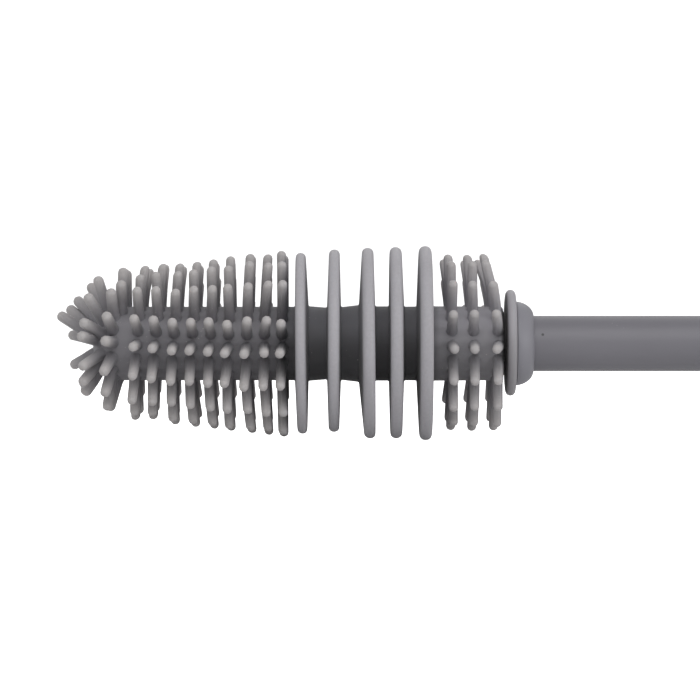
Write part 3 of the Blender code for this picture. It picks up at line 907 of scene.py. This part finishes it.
def blend_colour(tree, share, first, second):
    """Mixes two colours by a share. A Mix node's colours are its inputs 6 and 7 and its output 2."""
    node = tree.nodes.new("ShaderNodeMix")
    node.data_type = "RGBA"
    for label, value in ((0, share), (6, first), (7, second)):
        feed(tree, node.inputs[label], value)
    return node.outputs[2]


# %% Effects that every plastic has
DUST = (0.62, 0.60, 0.57, 1)


def drifting(tree, where, colour, scale, amount):
    """A colour that drifts a little paler and darker over the surface."""
    node = place_group(tree, drift, Vector=where, Color=colour, Scale=scale, Amount=amount)
    return node.outputs["Color"]


def dusted(tree, where, colour, scale, size, cover):
    """A colour with specks of dust on it. Cover is how much of the colour a speck hides."""
    specks = place_group(tree, dust, Vector=where, Scale=scale, Size=size).outputs["Mask"]
    return blend_colour(tree, math_node(tree, "MULTIPLY", specks, cover), colour, DUST)


def roughen(tree, shader, mask, least, more):
    """Roughness that is least where a mask is 0, and rises by more to where it is 1."""
    feed(tree, shader.inputs["Roughness"], math_node(tree, "MULTIPLY_ADD", mask, more, least))


def add_grain(tree, shader, where, scale, depth):
    """Bump by the mould grain."""
    node = tree.nodes.new("ShaderNodeBump")
    node.inputs["Distance"].default_value = depth
    height = place_group(tree, grain, Vector=where, Scale=scale).outputs["Height"]
    join(tree, [(height, node.inputs["Height"]), (node.outputs["Normal"], shader.inputs["Normal"])])


# %% Where the tips are worn paler and the roots painted in shade
# The tips' pale tone is partly wear and partly painted: shafts and sleeve below it stay darker as painted
# shade where the fingers crowd.
FULL_TIP_TONE_BELOW_END = 1.0 * MM
FULL_TIP_TONE_BELOW_END_NOSE = 2.0 * MM


def height_share(tree, where):
    """How high a point stands, 0 on the sleeve and 1 just below a finger's end, and its station and Z."""
    parts = tree.nodes.new("ShaderNodeSeparateXYZ")
    tree.links.new(where, parts.inputs[0])
    across = tree.nodes.new("ShaderNodeCombineXYZ")
    ahead = math_node(tree, "MINIMUM", parts.outputs["X"], 0.0)
    distance = tree.nodes.new("ShaderNodeVectorMath")
    distance.operation = "LENGTH"
    join(tree, [(ahead, across.inputs["X"]), (parts.outputs["Y"], across.inputs["Y"]),
                (parts.outputs["Z"], across.inputs["Z"]), (across.outputs[0], distance.inputs[0])])
    full = tree.nodes.new("ShaderNodeMapRange")
    full.inputs["From Max"].default_value = FIRST_RING + RING_PITCH * (len(FRONT_REACHES) - 1)
    full.inputs["To Min"].default_value = FRONT_REACHES[0] * MM - FULL_TIP_TONE_BELOW_END_NOSE
    full.inputs["To Max"].default_value = FRONT_REACHES[-1] * MM - FULL_TIP_TONE_BELOW_END
    tree.links.new(parts.outputs["X"], full.inputs["Value"])
    height = math_node(tree, "SUBTRACT", distance.outputs["Value"], BARREL_RADIUS)
    whole = math_node(tree, "SUBTRACT", full.outputs["Result"], BARREL_RADIUS)
    share = math_node(tree, "DIVIDE", height, whole)
    share.node.use_clamp = True
    return share, parts.outputs["X"], parts.outputs["Z"]


# %% Masks along the head
# Steeper rise between the discs, which paints their flanks darker than their rims as shade.
TIP_TONE_POWER = 1.75
TIP_TONE_POWER_DISCS = 6.0
# Heights over which the sleeve's upper side is painted paler, as light falling from above.
TOP_LIGHT_FROM = -3 * MM
TOP_LIGHT_TO = 8 * MM
# How far the groove's painted shade reaches onto the sleeve's end and onto the lip.
GROOVE_SHADE_REACH = 1.1 * MM
LIP_SHADE_REACH = 3 * LIP_DRAFT

# Stations where painted shade before the discs begins, where the discs' tones begin, and where they end.
painted_shade_begins = (DISCS[0] - 8 * MM, DISCS[0] - 3 * MM)
discs_begin = (DISCS[0] - 5 * MM, DISCS[0] - 2 * MM)
discs_end = (DISCS[-1] + 1 * MM, DISCS[-1] + 4 * MM)

silicone, tree, shader, where = new_material("brush_silicone")
share, along, up = height_share(tree, where)
behind_discs = ramp(tree, along, *discs_end)
among_discs = math_node(
    tree, "MULTIPLY", ramp(tree, along, *discs_begin), ramp(tree, along, *reversed(discs_end)))
before_discs = math_node(
    tree, "MULTIPLY", ramp(tree, along, *painted_shade_begins), ramp(tree, along, DISCS[1], DISCS[0]))
# Painted shade: the sleeve between the discs and just before the first one.
painted_shade = math_node(tree, "MAXIMUM", among_discs, before_discs)
# Painted shade in the groove before the lip.
groove_shade = math_node(
    tree, "MULTIPLY", ramp(tree, along, sleeve_end - GROOVE_SHADE_REACH, sleeve_end),
    ramp(tree, along, lip_start + LIP_SHADE_REACH, lip_start))
power = math_node(tree, "MULTIPLY_ADD", among_discs, TIP_TONE_POWER_DISCS - TIP_TONE_POWER, TIP_TONE_POWER)
# Pale tips over darker roots: part wear, part painted shade at the roots.
tips_worn_and_lit = math_node(tree, "POWER", share, power)
# Painted light: the sleeve paler on its upper side.
lit_from_above = ramp(tree, up, TOP_LIGHT_FROM, TOP_LIGHT_TO)
print("discs' tones between", *[round(value / MM, 1) for value in (*discs_begin, *discs_end)], "mm")

# %% Silicone
SILICONE = (0.25, 0.242, 0.26, 1)
# Tip tone: part wear, part painted light against the painted shade of the roots.
SILICONE_TIPS_WORN_AND_LIT = (0.485, 0.465, 0.465, 1)
SILICONE_RIMS = (0.44, 0.43, 0.457, 1)
# Painted shade on the sleeve between the discs, paler on top as painted light.
SILICONE_PAINTED_SHADE = (0.122, 0.12, 0.128, 1)
SILICONE_PAINTED_SHADE_LIT_TOP = (0.22, 0.217, 0.237, 1)
# The sleeve in front of the discs (SILICONE) is painted darker than behind them, as shade among its
# crowded fingers.
SILICONE_REAR = (0.295, 0.287, 0.305, 1)
# Painted light: the rear sleeve's paler upper side.
SILICONE_REAR_LIT_TOP = (0.39, 0.38, 0.41, 1)
# Painted shade, near black, in the groove.
SILICONE_GROOVE_SHADE = (0.05, 0.048, 0.05, 1)

rear_tone = blend_colour(tree, lit_from_above, SILICONE_REAR, SILICONE_REAR_LIT_TOP)
painted_shade_tone = blend_colour(tree, lit_from_above, SILICONE_PAINTED_SHADE, SILICONE_PAINTED_SHADE_LIT_TOP)
sleeve_tone = blend_colour(tree, behind_discs, SILICONE, rear_tone)
sleeve_tone = blend_colour(tree, painted_shade, sleeve_tone, painted_shade_tone)
ends = blend_colour(tree, among_discs, SILICONE_TIPS_WORN_AND_LIT, SILICONE_RIMS)
frosted = drifting(tree, where, ends, scale=1400.0, amount=0.1)
base = blend_colour(tree, tips_worn_and_lit, sleeve_tone, frosted)
base = blend_colour(tree, groove_shade, base, SILICONE_GROOVE_SHADE)
toned = drifting(tree, where, base, scale=45.0, amount=0.12)
feed(tree, shader.inputs["Base Color"], dusted(tree, where, toned, scale=700.0, size=0.09, cover=0.6))
roughen(tree, shader, noise(tree, where, scale=300.0), least=0.5, more=0.12)
shader.inputs["IOR"].default_value = 1.41
shader.inputs["Sheen Weight"].default_value = 0.08
shader.inputs["Sheen Roughness"].default_value = 0.5
shader.inputs["Subsurface Weight"].default_value = 0.3
shader.inputs["Subsurface Radius"].default_value = (1.0, 0.9, 0.85)
shader.inputs["Subsurface Scale"].default_value = 1.2 * MM
add_grain(tree, shader, where, scale=5200.0, depth=0.03 * MM)
head_moulding.data.materials.append(silicone)
print("silicone:", len(tree.nodes), "nodes")

# %% [markdown]
# ## Handle plastic
#
# The handle is injection moulded polypropylene, satin and a shade darker than the silicone. Its
# collar comes out of another mould and is a little paler, which could be a second material. A mask
# by station keeps both in one. The handle gets hairlines along it from handling, and a tiny dark
# pip where a mould pin touched it near the collar.

# %% Handle plastic
HANDLE = (0.191, 0.186, 0.208, 1)
HANDLE_COLLAR = (0.25, 0.246, 0.274, 1)
HANDLE_PIP = (0.05, 0.05, 0.055, 1)
PIP_STATION = 104.8 * MM
PIP_HEIGHT = 2.2 * MM
PIP_RADIUS = 0.45 * MM
HAIRLINE_SCALE = 2600.0
HAIRLINE_STRETCH = 0.04
HAIRLINES_FROM = 0.6
HAIRLINES_TO = 0.75

handle_plastic, tree, shader, where = new_material("brush_handle_plastic")
parts = tree.nodes.new("ShaderNodeSeparateXYZ")
feed(tree, parts.inputs[0], where)
on_collar = ramp(tree, parts.outputs["X"], collar_end + COLLAR_SET_BACK, collar_end)
base = blend_colour(tree, on_collar, HANDLE, HANDLE_COLLAR)
toned = drifting(tree, where, base, scale=30.0, amount=0.1)
dusty = dusted(tree, where, toned, scale=800.0, size=0.07, cover=0.4)
pip_place = Vector((PIP_STATION, -math.sqrt(TUBE_RADIUS ** 2 - PIP_HEIGHT ** 2), PIP_HEIGHT))
away = tree.nodes.new("ShaderNodeVectorMath")
away.operation = "DISTANCE"
away.inputs[1].default_value = pip_place
feed(tree, away.inputs[0], where)
pip = ramp(tree, away.outputs["Value"], PIP_RADIUS, PIP_RADIUS / 2)
feed(tree, shader.inputs["Base Color"], blend_colour(tree, pip, dusty, HANDLE_PIP))
stretched = tree.nodes.new("ShaderNodeMapping")
stretched.inputs["Scale"].default_value = (HAIRLINE_STRETCH, 1, 1)
feed(tree, stretched.inputs["Vector"], where)
streaks = noise(tree, stretched.outputs["Vector"], HAIRLINE_SCALE)
hairlines = ramp(tree, streaks, HAIRLINES_FROM, HAIRLINES_TO)
roughen(tree, shader, hairlines, least=0.42, more=0.12)
shader.inputs["IOR"].default_value = 1.49
add_grain(tree, shader, where, scale=7000.0, depth=0.015 * MM)
for obj in (collar_dome, handle_rod, hanging_tab):
    obj.data.materials.clear()
    obj.data.materials.append(handle_plastic)
print("handle plastic:", len(tree.nodes), "nodes")

# %% Core plastic
CORE = (0.62, 0.62, 0.60, 1)

core_plastic, tree, shader, where = new_material("brush_core_plastic")
toned = drifting(tree, where, CORE, scale=40.0, amount=0.08)
feed(tree, shader.inputs["Base Color"], dusted(tree, where, toned, scale=800.0, size=0.06, cover=0.3))
roughen(tree, shader, noise(tree, where, scale=200.0), least=0.4, more=0.15)
shader.inputs["IOR"].default_value = 1.49
add_grain(tree, shader, where, scale=6000.0, depth=0.02 * MM)
ribbed_core.data.materials.append(core_plastic)
print("materials:", ", ".join(material.name for material in bpy.data.materials if material.use_nodes))

# %% [markdown]
# ## Floor, light and camera
#
# The photograph is a plain catalogue shot on white. Its gaps between discs are dark although the
# rims are bright, and tops are paler than undersides. A soft light above the camera, one far to its
# right, a weak one behind the brush and a fill from the sky give the same tones. Their powers were
# found by rendering the brush in each light alone and fitting the sum to tones read off the photo.
# One light at the camera would be simpler, but would fill every gap. The sky shows white to the
# camera. So does the floor at a grazing angle, and from above it keeps a shadow. It also glows
# faintly on the brush, which lightens the undersides as a sheet of white paper does.

# %% White floor
FLOOR_REACH = 30
FLOOR_WHITE = (0.7, 0.7, 0.7, 1)
FLOOR_GLOW = 0.46
FLOOR_GLOW_GRAZING = 1.3
FLOOR_FILL = 0.12
GRAZING_FROM = 0.7
GRAZING_TO = 0.95

bm = bmesh.new()
bmesh.ops.create_grid(bm, x_segments=1, y_segments=1, size=FLOOR_REACH)
floor_mesh = bpy.data.meshes.new("floor")
bm.to_mesh(floor_mesh)
bm.free()
floor = bpy.data.objects.new("floor", floor_mesh)
bpy.context.scene.collection.objects.link(floor)
print("floor:", 2 * FLOOR_REACH, "m square")

# %% Paper of the floor
paper = bpy.data.materials.new("white_paper")
paper.use_nodes = True
tree = paper.node_tree
shader = tree.nodes["Principled BSDF"]
shader.inputs["Base Color"].default_value = FLOOR_WHITE
shader.inputs["Roughness"].default_value = 0.9
shader.inputs["Emission Color"].default_value = (1, 1, 1, 1)
facing = tree.nodes.new("ShaderNodeLayerWeight")
grazing = ramp(tree, facing.outputs["Facing"], GRAZING_FROM, GRAZING_TO)
brightness = math_node(tree, "MULTIPLY_ADD", grazing, FLOOR_GLOW_GRAZING - FLOOR_GLOW, FLOOR_GLOW)
seen = tree.nodes.new("ShaderNodeLightPath")
extra = math_node(tree, "SUBTRACT", brightness, FLOOR_FILL)
glow = math_node(tree, "MULTIPLY_ADD", seen.outputs["Is Camera Ray"], extra, FLOOR_FILL)
feed(tree, shader.inputs["Emission Strength"], glow)
floor_mesh.materials.append(paper)

# %% Sky
SKY_SEEN = 1.2
SKY_FILL = 0.44

world = bpy.data.worlds.new("white_room")
bpy.context.scene.world = world
world.use_nodes = True
tree = world.node_tree
background = tree.nodes["Background"]
background.inputs["Color"].default_value = (1, 1, 1, 1)
seen = tree.nodes.new("ShaderNodeLightPath")
strength = math_node(tree, "MULTIPLY_ADD", seen.outputs["Is Camera Ray"], SKY_SEEN - SKY_FILL, SKY_FILL)
feed(tree, background.inputs["Strength"], strength)
bpy.context.scene.view_settings.view_transform = "Standard"

# %% Lights
LIGHT_DISTANCE = 1.3
LIGHT_SIZE = 1.0
HEAD_MIDDLE = 50 * MM

head_middle = Vector((dome_centre + HEAD_MIDDLE, 0, axis_height))


def add_light(name, direction, power):
    """A square soft light that looks at the head's middle from a direction. Its power is in watts."""
    data = bpy.data.lights.new(name, "AREA")
    data.size = LIGHT_SIZE
    data.energy = power
    light = bpy.data.objects.new(name, data)
    light.location = head_middle + Vector(direction).normalized() * LIGHT_DISTANCE
    light.rotation_euler = Vector(direction).to_track_quat("Z", "Y").to_euler()
    bpy.context.scene.collection.objects.link(light)


add_light("front", (0, -0.75, 0.66), 5.5)
add_light("side", (0.8, -0.6, 0), 6.0)
add_light("rim", (0, 0.7, 0.7), 2.1)
print("lights:", ", ".join(light.name for light in bpy.data.lights))

# %% Camera
PHOTO_WIDTH = 700
SENSOR = 36
PIXELS_PER_METRE = 4000
CAMERA_DISTANCE = 0.8
CAMERA_STATION = 57.0 * MM
CAMERA_BELOW_AXIS = 1.625 * MM

camera_data = bpy.data.cameras.new("camera")
camera_data.sensor_width = SENSOR
camera_data.lens = PIXELS_PER_METRE * CAMERA_DISTANCE / PHOTO_WIDTH * SENSOR
camera_data.clip_start = 0.01
camera = bpy.data.objects.new("camera", camera_data)
camera.location = (dome_centre + CAMERA_STATION, -CAMERA_DISTANCE, axis_height - CAMERA_BELOW_AXIS)
camera.rotation_euler = (math.pi / 2, 0, 0)
bpy.context.scene.collection.objects.link(camera)
bpy.context.scene.camera = camera
print("camera lens:", round(camera_data.lens, 1), "mm")
